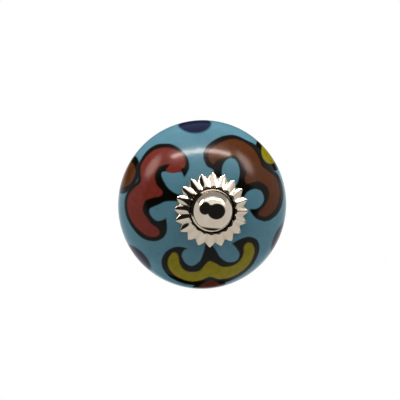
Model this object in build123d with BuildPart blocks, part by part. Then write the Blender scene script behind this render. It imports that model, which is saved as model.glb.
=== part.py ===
from build123d import *
from math import acos, atan2, cos, degrees, hypot, radians, sin, sqrt, tan
import os

# A ceramic cabinet knob on its bolt. The door's face is the plane y = 0, the knob stands out from it
# towards -Y, and the bolt runs through the door along +Y to its washer and nut. Heights are measured
# from the door's face towards the front of the knob, and depths from it into the door.

# Ceramic bulb, cast and glazed in one piece with its neck and foot
bulb_diameter = 40.0
front_bulge = 14.0
front_shoulder_radius = 9.8
back_bulge = 13.0
back_shoulder_radius = 9.5
foot_diameter = 21.0
foot_height = 5.0
foot_edge_chamfer = 0.6
neck_radius = 3.0
bolt_hole_diameter = 5.0
hole_edge_chamfer = 0.4
crown_flat_margin = 0.3

# Dome-headed bolt, turned from one bar
thread_diameter = 4.0
thread_end_chamfer = 0.5
thread_beyond_nut = 8.0
dome_diameter = 9.0
dome_height = 3.0
dome_wall_height = 0.5
collar_width = 0.5
collar_thickness = 1.5
collar_edge_radius = 0.4

# Flower washer, pleated and cupped from one sheet
fold_count = 20
first_fold_angle = 88.0
sheet_thickness = 0.4
washer_hole_clearance = 0.2
cup_clearance = 0.25
cup_lean = 0.1
crest_height = 2.3
crest_land = 0.05
crest_fold_depth = 0.3
crest_fold_radius = 0.2
flare_width = 1.1
flare_height = 0.4
flare_fold_depth = 0.65
fold_tip_diameter = 17.1
rim_fold_depth = 1.0
rim_fold_radius = 0.3
rim_gap = 0.2

# Door, and the fastenings behind it
door_thickness = 18.0
flat_washer_diameter = 9.0
flat_washer_thickness = 0.8
flat_washer_clearance = 0.15
nut_across_flats = 7.0
nut_thickness = 3.2
nut_corner_angle = 30.0
nut_thread_clearance = 0.05
nut_mouth_chamfer = 0.35

bulb_radius = bulb_diameter / 2
foot_radius = foot_diameter / 2
hole_radius = bolt_hole_diameter / 2
thread_radius = thread_diameter / 2
dome_radius = dome_diameter / 2
collar_radius = dome_radius + collar_width
nut_flat_radius = nut_across_flats / 2

# Radii of the flower washer, from its hole outwards
washer_hole_radius = thread_radius + washer_hole_clearance
cup_floor_radius = collar_radius + cup_clearance
cup_mouth_radius = cup_floor_radius + cup_lean
crest_valley_radius = cup_mouth_radius + crest_land
crest_ridge_radius = crest_valley_radius + crest_fold_depth
rim_tip_radius = fold_tip_diameter / 2
rim_valley_radius = rim_tip_radius - rim_fold_depth
flare_ridge_radius = rim_tip_radius - flare_width
flare_valley_radius = flare_ridge_radius - flare_fold_depth


def crown_radius(bulge, shoulder_radius):
    """Radius of the arc centred on the bulb's axis that runs on smoothly from a shoulder arc."""
    inset = bulb_radius - shoulder_radius
    return (inset**2 + bulge**2 - shoulder_radius**2) / (2 * (bulge - shoulder_radius))


# Each half of the bulb is a shoulder arc from the widest circle and a flatter crown arc across the
# axis. A drop is how far the crown arc's centre lies on the far side of the widest circle, and a
# sweep is the angle of the shoulder arc
front_crown_radius = crown_radius(front_bulge, front_shoulder_radius)
front_drop = front_crown_radius - front_bulge
front_sweep = degrees(atan2(front_drop, bulb_radius - front_shoulder_radius))
back_crown_radius = crown_radius(back_bulge, back_shoulder_radius)
back_drop = back_crown_radius - back_bulge
back_sweep = degrees(atan2(back_drop, bulb_radius - back_shoulder_radius))
widest_height = foot_height + sqrt(back_crown_radius**2 - foot_radius**2) - back_drop


def glaze_height(radius):
    """Height of the bulb's front face at a radius from the bolt's axis."""
    return widest_height - front_drop + sqrt(front_crown_radius**2 - radius**2)


crown_flat_radius = cup_floor_radius + sheet_thickness + crown_flat_margin
crown_flat_height = glaze_height(crown_flat_radius)

# Heights of the flower washer, whose rim hangs just clear of the glaze
cup_floor_height = crown_flat_height + sheet_thickness
crest_top_height = crown_flat_height + crest_height
rim_bottom_height = glaze_height(rim_valley_radius) + rim_gap
skirt_run = rim_tip_radius - crest_ridge_radius
skirt_fall = crest_top_height - rim_bottom_height
skirt_depth = sheet_thickness * hypot(skirt_run, skirt_fall) / skirt_run
rim_top_height = rim_bottom_height + skirt_depth
flare_top_height = rim_top_height + flare_height

# Heights of the bolt's head, which sits in the cup. The dome is a cap of a larger ball
collar_top_height = cup_floor_height + collar_thickness
dome_base_height = collar_top_height + dome_wall_height
dome_top_height = dome_base_height + dome_height
dome_ball_radius = (dome_radius**2 + dome_height**2) / (2 * dome_height)
dome_edge_angle = degrees(acos(dome_radius / dome_ball_radius))

# Depths of the fastenings behind the door
nut_seat_depth = door_thickness + flat_washer_thickness
nut_back_depth = nut_seat_depth + nut_thickness
thread_end_depth = nut_back_depth + thread_beyond_nut


def fold_corners(ridge_radius, valley_radius):
    """Corners of one closed zigzag round the flower washer, a ridge and a valley in turn."""
    half_pitch = 180.0 / fold_count
    return [
        (radius * cos(radians(angle)), radius * sin(radians(angle)))
        for fold in range(fold_count)
        for radius, angle in (
            (ridge_radius, first_fold_angle + 2 * fold * half_pitch),
            (valley_radius, first_fold_angle + (2 * fold + 1) * half_pitch),
        )
    ]


# Glazed body: half a section turned about the bolt's axis, with the foot on the door
with BuildPart() as glazed_body:
    with BuildSketch(Plane.XY):
        with BuildLine():
            shoulder_centre = (bulb_radius - front_shoulder_radius, -widest_height)
            crown_centre = (0, front_drop - widest_height)
            crown_arc = degrees(acos(crown_flat_radius / front_crown_radius)) - front_sweep
            CenterArc(shoulder_centre, front_shoulder_radius, 0, -front_sweep)
            CenterArc(crown_centre, front_crown_radius, -front_sweep, -crown_arc)
            shoulder_centre = (bulb_radius - back_shoulder_radius, -widest_height)
            crown_centre = (0, -back_drop - widest_height)
            crown_arc = degrees(acos(foot_radius / back_crown_radius)) - back_sweep
            CenterArc(shoulder_centre, back_shoulder_radius, 0, back_sweep)
            CenterArc(crown_centre, back_crown_radius, back_sweep, crown_arc)
            Polyline(
                (foot_radius, -foot_height),
                (foot_radius, 0),
                (hole_radius, 0),
                (hole_radius, -crown_flat_height),
                (crown_flat_radius, -crown_flat_height),
            )
        make_face()
    revolve(axis=Axis.Y)
    rings = glazed_body.edges().filter_by(GeomType.CIRCLE).group_by(Axis.Y)
    foot_edge = rings[-1].sort_by(SortBy.RADIUS)[-1]
    hole_edges = [rings[0].sort_by(SortBy.RADIUS)[0], rings[-1].sort_by(SortBy.RADIUS)[0]]
    fillet(rings[-2], neck_radius)
    chamfer(foot_edge, foot_edge_chamfer)
    chamfer(hole_edges, hole_edge_chamfer)

# Flower washer: a zigzag skirt lofted from the crest down to the rim, hollow underneath, with a cup
# in the middle that takes the bolt's collar
with BuildPart() as flower_washer:
    with BuildSketch(Plane.XZ.offset(crest_top_height)) as crest_zigzag:
        Polygon(*fold_corners(crest_ridge_radius, crest_valley_radius), align=None)
        fillet(crest_zigzag.vertices(), crest_fold_radius)
    with BuildSketch(Plane.XZ.offset(flare_top_height)) as flare_zigzag:
        Polygon(*fold_corners(flare_ridge_radius, flare_valley_radius), align=None)
        fillet(flare_zigzag.vertices(), rim_fold_radius)
    with BuildSketch(Plane.XZ.offset(rim_top_height)) as rim_zigzag:
        Polygon(*fold_corners(rim_tip_radius, rim_valley_radius), align=None)
        fillet(rim_zigzag.vertices(), rim_fold_radius)
    loft(ruled=True)
    extrude(rim_zigzag.sketch, amount=-skirt_depth)
    with BuildSketch(Plane.XZ.offset(crest_top_height - skirt_depth)):
        add(crest_zigzag.sketch_local)
    with BuildSketch(Plane.XZ.offset(flare_top_height - skirt_depth)):
        add(flare_zigzag.sketch_local)
    with BuildSketch(Plane.XZ.offset(rim_bottom_height)):
        add(rim_zigzag.sketch_local)
    loft(ruled=True, mode=Mode.SUBTRACT)
    with BuildSketch(Plane.XY):
        with BuildLine():
            Polyline(
                (washer_hole_radius, -crown_flat_height),
                (cup_floor_radius + sheet_thickness, -crown_flat_height),
                (cup_mouth_radius + sheet_thickness, skirt_depth - crest_top_height),
                (cup_mouth_radius, -crest_top_height),
                (washer_hole_radius, -crest_top_height),
                close=True,
            )
        make_face()
    revolve(axis=Axis.Y)
    with BuildSketch(Plane.XY):
        with BuildLine():
            Polyline(
                (0, -cup_floor_height),
                (cup_floor_radius, -cup_floor_height),
                (cup_mouth_radius, -crest_top_height),
                (0, -crest_top_height),
                close=True,
            )
        make_face()
    revolve(axis=Axis.Y, mode=Mode.SUBTRACT)

# Dome bolt: dome, collar and shank in one turning
with BuildPart() as dome_bolt:
    with BuildSketch(Plane.XY):
        with BuildLine():
            Polyline(
                (0, -dome_top_height),
                (0, thread_end_depth),
                (thread_radius, thread_end_depth),
                (thread_radius, -cup_floor_height),
                (collar_radius, -cup_floor_height),
                (collar_radius, -collar_top_height),
                (dome_radius, -collar_top_height),
                (dome_radius, -dome_base_height),
            )
            dome_centre = (0, dome_ball_radius - dome_top_height)
            CenterArc(dome_centre, dome_ball_radius, -dome_edge_angle, dome_edge_angle - 90)
        make_face()
    revolve(axis=Axis.Y)
    rings = dome_bolt.edges().filter_by(GeomType.CIRCLE)
    collar_edge = rings.group_by(SortBy.RADIUS)[-1].sort_by(Axis.Y)[0]
    thread_end_edge = rings.sort_by(Axis.Y)[-1]
    fillet(collar_edge, collar_edge_radius)
    chamfer(thread_end_edge, thread_end_chamfer)

# Flat washer: flat against the back of the door
with BuildPart() as flat_washer:
    with BuildSketch(Plane.XZ.offset(-nut_seat_depth)):
        Circle(flat_washer_diameter / 2)
        Circle(thread_radius + flat_washer_clearance, mode=Mode.SUBTRACT)
    extrude(amount=flat_washer_thickness)

# Hex nut: a hexagon with its corners turned down at both ends
with BuildPart() as hex_nut:
    with BuildSketch(Plane.XZ.offset(-nut_back_depth)):
        RegularPolygon(nut_flat_radius, side_count=6, major_radius=False)
        Circle(thread_radius + nut_thread_clearance, mode=Mode.SUBTRACT)
    extrude(amount=nut_thickness)
    mouths = hex_nut.edges().filter_by(GeomType.CIRCLE)
    chamfer(mouths, nut_mouth_chamfer)
    with BuildSketch(Plane.XY):
        with BuildLine():
            corner_radius = nut_flat_radius / cos(radians(30))
            corner_drop = (corner_radius - nut_flat_radius) * tan(radians(nut_corner_angle))
            Polyline(
                (0, nut_seat_depth),
                (nut_flat_radius, nut_seat_depth),
                (corner_radius, nut_seat_depth + corner_drop),
                (corner_radius, nut_back_depth - corner_drop),
                (nut_flat_radius, nut_back_depth),
                (0, nut_back_depth),
                close=True,
            )
        make_face()
    revolve(axis=Axis.Y, mode=Mode.INTERSECT)

os.makedirs("parts", exist_ok=True)
glazed_body.part.label = "glazed_body"
export_step(glazed_body.part, "parts/glazed_body.step")
flower_washer.part.label = "flower_washer"
export_step(flower_washer.part, "parts/flower_washer.step")
dome_bolt.part.label = "dome_bolt"
export_step(dome_bolt.part, "parts/dome_bolt.step")
flat_washer.part.label = "flat_washer"
export_step(flat_washer.part, "parts/flat_washer.step")
hex_nut.part.label = "hex_nut"
export_step(hex_nut.part, "parts/hex_nut.step")
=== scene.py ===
import math

import bmesh
import bpy
import numpy as np
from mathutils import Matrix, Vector


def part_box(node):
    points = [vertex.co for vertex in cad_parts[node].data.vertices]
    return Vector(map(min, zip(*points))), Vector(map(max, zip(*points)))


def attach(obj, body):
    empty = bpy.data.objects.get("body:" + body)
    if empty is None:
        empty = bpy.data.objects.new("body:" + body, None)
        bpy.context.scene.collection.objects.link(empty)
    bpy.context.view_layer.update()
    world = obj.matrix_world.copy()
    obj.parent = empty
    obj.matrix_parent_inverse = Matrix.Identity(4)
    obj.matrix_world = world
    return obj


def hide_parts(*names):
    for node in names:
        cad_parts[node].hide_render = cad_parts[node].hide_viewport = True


bl_info = {
    "name": "Painted cabinet knob",
    "version": (1, 0, 0),
    "blender": (4, 5, 0),
    "location": "3D View > Sidebar > Knob",
    "description": "Dresses a ceramic cabinet knob: painted bulb, pleated washer, bolt, washer and nut",
    "category": "Object",
}

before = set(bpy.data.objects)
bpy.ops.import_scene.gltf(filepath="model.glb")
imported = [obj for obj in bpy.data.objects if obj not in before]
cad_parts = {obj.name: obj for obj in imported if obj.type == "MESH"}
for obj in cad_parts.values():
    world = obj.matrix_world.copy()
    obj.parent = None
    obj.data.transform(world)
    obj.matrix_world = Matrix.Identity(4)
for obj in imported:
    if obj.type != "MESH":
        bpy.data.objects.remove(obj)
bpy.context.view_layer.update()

MM = 0.001
SHEET = 0.4 * MM
bulb_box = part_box("glazed_body")
washer_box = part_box("flower_washer")
bolt_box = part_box("dome_bolt")
plain_washer_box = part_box("flat_washer")
nut_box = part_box("hex_nut")


def hex_colour(code):
    """Linear red, green and blue of an sRGB hex colour."""
    parts = [int(code[i:i + 2], 16) / 255 for i in (0, 2, 4)]
    return [c / 12.92 if c <= 0.04045 else ((c + 0.055) / 1.055) ** 2.4 for c in parts]


def length(name, metres, description):
    """A size that a user can change."""
    return bpy.props.FloatProperty(
        name=name, description=description, default=metres, min=0.0, unit="LENGTH", precision=5
    )


def shift(name, metres, description):
    """A distance either way that a user can change."""
    return bpy.props.FloatProperty(
        name=name, description=description, default=metres, unit="LENGTH", precision=5
    )


def angle(name, degrees, description):
    """A direction or a turn that a user can change."""
    return bpy.props.FloatProperty(
        name=name, description=description, default=math.radians(degrees), subtype="ANGLE"
    )


def count(name, number, description):
    """A whole number that a user can change."""
    return bpy.props.IntProperty(name=name, description=description, default=number, min=1)


def level(name, strength, description):
    """A brightness that a user can change, where 1 shows as white."""
    return bpy.props.FloatProperty(name=name, description=description, default=strength, min=0.0)


def colour(name, code, description):
    """A colour that a user can change, written as sRGB hex."""
    return bpy.props.FloatVectorProperty(
        name=name, description=description, default=hex_colour(code), size=3, min=0.0, max=1.0,
        subtype="COLOR",
    )


class BulbSizes(bpy.types.PropertyGroup):
    """Sizes of the ceramic bulb with its neck and foot."""

    radius: length("Radius", bulb_box[1].x, "Half the width of the bulb")
    crown_height: length("Crown height", -bulb_box[0].y, "Height of the flat under the flower washer")
    crown_flat: length("Crown flat", 5.95 * MM, "Radius of the flat under the flower washer")
    widest_height: length("Widest height", 15.874 * MM, "Height of the widest circle above the door")
    front_shoulder: length("Front shoulder", 9.8 * MM, "Radius of the arc in front of the widest circle")
    front_bulge: length("Front bulge", 14.0 * MM, "Height of the front half above the widest circle")
    back_shoulder: length("Back shoulder", 9.5 * MM, "Radius of the arc behind the widest circle")
    back_bulge: length("Back bulge", 13.0 * MM, "Depth of the back half behind the widest circle")
    neck_radius: length("Neck radius", 3.0 * MM, "Radius of the hollow between the bulb and the foot")
    foot_radius: length("Foot radius", 10.5 * MM, "Half the width of the foot")
    foot_edge: length("Foot edge", 0.6 * MM, "Rounding of the foot's edge")
    hole_radius: length("Hole radius", 2.5 * MM, "Half the width of the bolt's hole")
    hole_edge: length("Hole edge", 0.4 * MM, "Chamfer at both mouths of the hole")
    bare_foot: length("Bare foot", 0.9 * MM, "Height up to which the foot has no glaze")


class FlowerSizes(bpy.types.PropertyGroup):
    """Sizes of the pleated flower washer."""

    folds: count("Folds", 20, "Number of pleats round the washer")
    first_fold: angle("First fold", 88.0, "Direction of one ridge, turned from +X towards +Z")
    sheet: length("Sheet", SHEET, "Thickness of the sheet")
    hole_radius: length("Hole radius", 2.2 * MM, "Half the width of the bolt's hole")
    cup_radius: length("Cup radius", 5.25 * MM, "Radius of the cup at its floor")
    cup_mouth: length("Cup mouth", 5.35 * MM, "Radius of the cup at the crest")
    cup_floor: length("Cup floor", -bulb_box[0].y + SHEET, "Height of the cup's floor")
    crest_height: length("Crest height", -washer_box[0].y - 0.3 * MM, "Height of the fold round the cup")
    cup_bend: length("Cup bend", 0.35 * MM, "Radius of the bend round the cup's floor")
    crest_bend: length("Crest bend", 0.12 * MM, "Radius of the bend from the cup into the pleats")
    crest_ridge: length("Crest ridge", 5.58 * MM, "Radius at which the ridges start")
    crest_valley: length("Crest valley", 5.45 * MM, "Radius at which the valleys start")
    tip_radius: length("Tip radius", washer_box[1].x + 0.2 * MM, "Radius of the tips before their rounding")
    rim_valley: length("Rim valley", 7.55 * MM, "Radius of the rim between two tips")
    rim_height: length("Rim height", -washer_box[1].y + 0.74 * MM, "Height of the rim's front")
    tip_slope: angle("Tip slope", 20.0, "Slope of the flattened tips")
    tip_run: length("Tip run", 0.3 * MM, "Length of the flattened tips")
    edge_round: length("Edge round", 0.07 * MM, "Rounding of the cut edges")


class BoltSizes(bpy.types.PropertyGroup):
    """Sizes of the dome-headed bolt."""

    dome_radius: length("Dome radius", 4.5 * MM, "Half the width of the dome")
    dome_top: length("Dome top", -bolt_box[0].y, "Height of the dome's top")
    dome_height: length("Dome height", 2.6 * MM, "Height of the dome above its short wall")
    collar_radius: length("Collar radius", bolt_box[1].x, "Half the width of the collar")
    collar_thickness: length("Collar thickness", 1.5 * MM, "Thickness of the collar")
    collar_slope: angle("Collar slope", 28.0, "Slope of the collar's front round the dome")
    collar_edge: length("Collar edge", 0.12 * MM, "Rounding of the collar's edge")
    groove: length("Groove", 0.12 * MM, "Depth of the groove between the dome and the collar")
    thread_radius: length("Thread radius", 2.0 * MM, "Radius over the thread's crests")
    thread_root: length("Thread root", 1.57 * MM, "Radius at the bottom of the thread")
    thread_pitch: length("Thread pitch", 0.7 * MM, "Distance from one turn to the next")
    thread_start: length("Thread start", 4.0 * MM, "Height inside the hole at which the thread starts")
    shank_radius: length("Shank radius", 1.75 * MM, "Radius of the plain shank inside the bulb")
    tip_chamfer: length("Tip chamfer", 0.5 * MM, "Chamfer of the thread's end")


class FastenerSizes(bpy.types.PropertyGroup):
    """Sizes of the washer and nut behind the door."""

    washer_hole: length("Washer hole", 2.15 * MM, "Half the width of the plain washer's hole")
    washer_edge: length("Washer edge", 0.15 * MM, "Rounding that punching leaves on the washer")
    nut_bore: length("Nut bore", 2.05 * MM, "Half the width of the nut's bore")
    nut_mouth: length("Nut mouth", 0.35 * MM, "Chamfer at both mouths of the bore")
    nut_corner: angle("Nut corner", 30.0, "Slope of the chamfer that takes the nut's corners down")
    nut_edge: length("Nut edge", 0.08 * MM, "Rounding of the nut's edges")


class PaintSizes(bpy.types.PropertyGroup):
    """Sizes of the brush work and of the glaze over it."""

    outline_soft: length("Outline softness", 0.46 * MM, "Width over which the black outlines fade out")
    fill_soft: length("Fill softness", 0.50 * MM, "Width over which the colours fade into the black")
    brush_wobble: length("Brush wobble", 0.10 * MM, "How far the edges of the paint stray")
    wobble_spacing: length("Wobble spacing", 1.6 * MM, "Distance between two strays of an edge")
    stroke_width: length("Stroke width", 1.1 * MM, "Width of the strokes that show in the colours")
    cloud_width: length("Cloud width", 7.0 * MM, "Width of the clouds in the turquoise ground")
    fleck_spacing: length("Fleck spacing", 2.4 * MM, "Distance between dark flecks in the ground")
    glaze_wave: length("Glaze wave", 5.0 * MM, "Distance between the waves of the glaze's surface")


class KnobColours(bpy.types.PropertyGroup):
    """Colours of the paint, the clay and the metals."""

    ground: colour("Ground", "6090A1", "Turquoise ground of the glaze")
    ground_cloud: colour("Ground cloud", "568493", "Turquoise where the glaze is thick")
    outline: colour("Outline", "0E0D08", "Black of the brushed outlines")
    red: colour("Red", "843328", "Red of the left scroll")
    brown: colour("Brown", "613213", "Brown of the right scroll and the left bud")
    olive: colour("Olive", "968903", "Olive of the lower scroll and the right bud")
    maroon: colour("Maroon", "5A2A22", "Maroon of the lower bud")
    violet: colour("Violet", "1A213E", "Violet of the spots at the widest circle")
    clay: colour("Clay", "D9CCB4", "Bare fired clay of the foot")
    nickel: colour("Nickel", "BFB5A7", "Bright nickel plate")
    # The tarnish colour also darkens the washer's folds, where it is partly painted shade in the pleats'
    # valleys
    tarnish: colour("Tarnish", "B6A892", "Nickel plate where it has yellowed")
    zinc: colour("Zinc", "A9ADB0", "Zinc plate")


class StageSettings(bpy.types.PropertyGroup):
    """Place of the camera and level of the light."""

    azimuth: angle("Azimuth", -8.6, "Direction of the camera round the knob, from the front")
    elevation: angle("Elevation", 5.2, "Height of the camera above the horizon")
    distance: length("Distance", 0.5, "Distance from the camera to the bulb's middle")
    field: length("Field", 94.57 * MM, "Width that the image takes in at that distance")
    aim_right: shift("Aim right", -0.572 * MM, "How far the camera aims to the right of the bulb's middle")
    aim_up: shift("Aim up", 1.102 * MM, "How far the camera aims above the bulb's middle")
    floor_drop: length("Floor drop", 0.4, "Depth of the floor below the bolt's axis")
    room_level: level("Room level", 0.86, "Light of the white room on the knob")
    canopy_level: level("Canopy level", 1.6, "Light of the white cloth above and beside the camera")
    ceiling_level: level("Ceiling level", 0.5, "Light of the grey ceiling behind the cloth")
    side_level: level("Side level", 20.0, "Light of the two soft boxes beside the camera")
    dark_level: level("Dark level", 0.02, "Light of the dark room behind the camera")
    overhead_power: bpy.props.FloatProperty(
        name="Overhead power", description="Power of the soft light above the knob, in watts", default=1.6,
        min=0.0, unit="POWER",
    )
    overhead_size: length("Overhead size", 0.4, "Width of the soft light above the knob")
    lamp_colour: colour("Lamp colour", "FFECE3", "Warm light of the tube lamp and the soft boxes")
    tube_level: level("Tube level", 80.0, "Light of the tube lamp under the cloth")
    tube_pitch: angle("Tube pitch", 63.0, "Height of the tube lamp above the front")
    tube_reach: length("Tube reach", 0.44, "Distance from the bulb's middle to the lamps above")
    tube_radius: length("Tube radius", 15.0 * MM, "Half the thickness of the tube lamp")
    tube_length: length("Tube length", 0.47, "Length of the tube lamp")
    tube_shift: shift("Tube shift", 0.01, "How far the tube lamp hangs to the right")


# Modelling tools

MERGE_DISTANCE = 0.001 * MM
CUT_DISTANCE = 0.0001 * MM
EDGE_SEGMENTS = 2
# Angles in degrees between faces, below which turned and pleated pieces look smooth
TURNED_SMOOTH = 35.0
PLEATED_SMOOTH = 40.0


def begin(name, add_primitive, **settings):
    """Add a primitive with nothing else selected, name it and open it in edit mode."""
    bpy.ops.object.select_all(action="DESELECT")
    add_primitive(**settings)
    piece = bpy.context.object
    piece.name = name
    piece.data.name = name
    bpy.ops.object.mode_set(mode="EDIT")
    bpy.ops.mesh.select_mode(type="VERT")
    return piece


def select_faces(piece, test):
    """Select the faces of the piece in edit mode whose middles pass a test."""
    bpy.ops.mesh.select_mode(type="FACE")
    bpy.ops.mesh.select_all(action="DESELECT")
    mesh = bmesh.from_edit_mesh(piece.data)
    for face in mesh.faces:
        if test(face.calc_center_median()):
            face.select_set(True)
    bmesh.update_edit_mesh(piece.data)


def settle():
    """Leave edit mode and put the active piece's place and turn into its mesh."""
    bpy.ops.object.mode_set(mode="OBJECT")
    bpy.ops.object.transform_apply(location=True, rotation=True, scale=True)


def close_seams():
    """Merge the doubled points of the mesh in edit mode and turn its faces outwards."""
    bpy.ops.mesh.select_all(action="SELECT")
    bpy.ops.mesh.remove_doubles(threshold=MERGE_DISTANCE)
    bpy.ops.mesh.normals_make_consistent(inside=False)
    bpy.ops.object.mode_set(mode="OBJECT")


def draw_section(name, section):
    """Collapse a small plane to a point and extrude it along a section of (radius, place along Y)."""
    piece = begin(name, bpy.ops.mesh.primitive_plane_add, size=MM)
    bpy.ops.mesh.merge(type="CENTER")
    places = [Vector((radius, along, 0.0)) for radius, along in section]
    bpy.ops.transform.translate(value=places[0])
    for here, there in zip(places, places[1:]):
        bpy.ops.mesh.extrude_vertices_move(TRANSFORM_OT_translate={"value": there - here})
    return piece


def turn(name, section, steps):
    """Spin a section once round the bolt's axis."""
    piece = draw_section(name, section)
    bpy.ops.mesh.select_all(action="SELECT")
    bpy.ops.mesh.spin(steps=steps, angle=2 * math.pi, center=(0, 0, 0), axis=(0, 1, 0))
    close_seams()
    return piece


def arc(centre, radius, start, end, steps):
    """Points of a section along an arc about a centre, from one angle to another in radians."""
    angles = [start + (end - start) * step / steps for step in range(steps + 1)]
    return [(centre[0] + radius * math.cos(a), centre[1] + radius * math.sin(a)) for a in angles]


def apply_modifier(piece, kind, **settings):
    """Put a modifier on a piece and apply it."""
    bpy.context.view_layer.objects.active = piece
    modifier = piece.modifiers.new(kind.title(), kind)
    for field, value in settings.items():
        setattr(modifier, field, value)
    bpy.ops.object.modifier_apply(modifier=modifier.name)


def round_edges(piece, width, least_turn):
    """Round the edges of a piece where its faces turn by more than an angle in degrees."""
    apply_modifier(
        piece, "BEVEL", width=width, segments=EDGE_SEGMENTS, limit_method="ANGLE",
        angle_limit=math.radians(least_turn),
    )


def combine(piece, tool, operation):
    """Cut a piece by a tool, or join the two, and remove the tool."""
    apply_modifier(piece, "BOOLEAN", object=tool, operation=operation, solver="EXACT")
    bpy.data.objects.remove(tool)


def point_places(piece):
    """X, Y and Z of all points of a piece."""
    corners = np.empty(3 * len(piece.data.vertices))
    piece.data.vertices.foreach_get("co", corners)
    return corners.reshape(-1, 3).T


def store(piece, name, values):
    """Keep a number for each point of a piece, for its material to read."""
    attribute = piece.data.attributes.new(name, "FLOAT", "POINT")
    attribute.data.foreach_set("value", np.asarray(values, dtype=np.float32))


def dress(piece, node, slot, smooth_angle, *materials):
    """Shade a finished piece, give it its materials and let it stand for its CAD node."""
    bpy.ops.object.select_all(action="DESELECT")
    piece.select_set(True)
    bpy.context.view_layer.objects.active = piece
    bpy.ops.object.shade_smooth_by_angle(angle=math.radians(smooth_angle))
    piece.data.materials.clear()
    for material in materials:
        piece.data.materials.append(material)
    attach(piece, "root")
    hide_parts(node)


# Materials

# Sockets of a Mix node for colours: the share of the upper colour, the lower, the upper, and the result
SHARE, LOWER, UPPER, MIXED = 0, 6, 7, 2
# Widths of the patterns in the clay and the plating, and depths of the relief on them and on the glaze
# The real grit and crystals are finer, and are drawn as coarse as they need to show
GRIT_WIDTH = 0.35 * MM
TARNISH_WIDTH = 2.5 * MM
RIPPLE_WIDTH = 1.2 * MM
GROWTH_WIDTH = 1.5 * MM
CRYSTAL_WIDTH = 0.25 * MM
WAVE_DEPTH = 0.006 * MM
PIT_DEPTH = 0.05 * MM
RIPPLE_DEPTH = 0.006 * MM
CRYSTAL_DEPTH = 0.01 * MM
# Share of a colour that is left where it is darker
STREAK_SHADE = 0.72
FLECK_SHADE = 0.3
STAIN_SHADE = 0.7
# In the washer's folds this darker share is painted shade in the pleats' valleys, together with tarnish
FOLD_SHADE = 0.9
PATCH_SHADE = 0.75


def add(tree, kind, inputs=None, output=0, **settings):
    """Add a node, set its fields, set or link its inputs, and return one of its outputs if it has any."""
    node = tree.nodes.new(kind)
    for field, value in settings.items():
        setattr(node, field, value)
    for socket, value in (inputs or {}).items():
        if isinstance(value, bpy.types.NodeSocket):
            tree.links.new(value, node.inputs[socket])
        else:
            node.inputs[socket].default_value = value
    return node.outputs[output] if node.outputs else None


def new_material(name):
    """An empty material and its node tree."""
    material = bpy.data.materials.new(name)
    material.use_nodes = True
    material.node_tree.nodes.clear()
    return material, material.node_tree


def opaque(linear, share=1.0):
    """A colour, or a darker share of it, with full alpha, as the node sockets take it."""
    return (*(share * part for part in linear), 1.0)


def painted_glaze(colours, paint):
    """Earthenware painted by brush under a clear gloss glaze."""
    # The eye sees clouded turquoise with dark flecks, soft black outlines, streaky colours and a wavy gloss
    material, tree = new_material("glazed_earthenware")
    place = add(tree, "ShaderNodeTexCoord", output="Object")
    strays = add(tree, "ShaderNodeTexNoise", {"Vector": place, "Scale": 1 / paint.wobble_spacing})
    wobble = add(tree, "ShaderNodeMapRange", {
        "Value": strays, "To Min": -paint.brush_wobble, "To Max": paint.brush_wobble,
    })
    strokes = add(tree, "ShaderNodeTexNoise", {
        "Vector": place, "Scale": 1 / paint.stroke_width, "Detail": 4.0,
    })
    streaks = add(tree, "ShaderNodeMapRange", {"Value": strokes, "To Min": -0.5, "To Max": 1.5})
    clouds = add(tree, "ShaderNodeTexNoise", {
        "Vector": place, "Scale": 1 / paint.cloud_width, "Detail": 6.0, "Roughness": 0.68,
    })
    thickness = add(tree, "ShaderNodeMapRange", {"Value": clouds, "To Min": -1.0, "To Max": 2.0})

    def covered(layer, softness):
        """How much of the ground a layer of paint hides, with its edge strayed and softened."""
        depth = add(tree, "ShaderNodeAttribute", output="Fac", attribute_name=layer)
        strayed = add(tree, "ShaderNodeMath", {0: depth, 1: wobble}, operation="ADD")
        return add(tree, "ShaderNodeMapRange", {
            "Value": strayed, "From Min": -softness / 2, "From Max": softness / 2,
        }, interpolation_type="SMOOTHSTEP")

    ground = add(tree, "ShaderNodeMix", {
        SHARE: thickness, LOWER: opaque(colours.ground), UPPER: opaque(colours.ground_cloud),
    }, MIXED, data_type="RGBA")
    grains = add(tree, "ShaderNodeTexVoronoi", {"Vector": place, "Scale": 1 / paint.fleck_spacing})
    flecks = add(tree, "ShaderNodeMapRange", {
        "Value": grains, "From Min": 0.05, "From Max": 0.12, "To Min": 0.45, "To Max": 0.0,
    })
    surface = add(tree, "ShaderNodeMix", {
        SHARE: flecks, LOWER: ground, UPPER: opaque(colours.ground_cloud, FLECK_SHADE),
    }, MIXED, data_type="RGBA")
    layers = [("violet", 2 * paint.fill_soft), ("outline", paint.outline_soft)]
    layers += [(layer, paint.fill_soft) for layer in ("red", "brown", "olive", "maroon")]
    for layer, softness in layers:
        thin = getattr(colours, layer)
        streaked = add(tree, "ShaderNodeMix", {
            SHARE: streaks, LOWER: opaque(thin), UPPER: opaque(thin, STREAK_SHADE),
        }, MIXED, data_type="RGBA")
        surface = add(tree, "ShaderNodeMix", {
            SHARE: covered(layer, softness), LOWER: surface, UPPER: streaked,
        }, MIXED, data_type="RGBA")
    swell = add(tree, "ShaderNodeTexNoise", {"Vector": place, "Scale": 1 / paint.glaze_wave})
    waves = add(tree, "ShaderNodeBump", {"Height": swell, "Distance": WAVE_DEPTH, "Strength": 1.0})
    gloss = add(tree, "ShaderNodeMapRange", {"Value": clouds, "To Min": 0.11, "To Max": 0.18})
    shader = add(tree, "ShaderNodeBsdfPrincipled", {
        "Base Color": surface, "Roughness": gloss, "IOR": 1.5, "Specular IOR Level": 0.1, "Normal": waves,
    })
    add(tree, "ShaderNodeOutputMaterial", {"Surface": shader})
    return material


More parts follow.
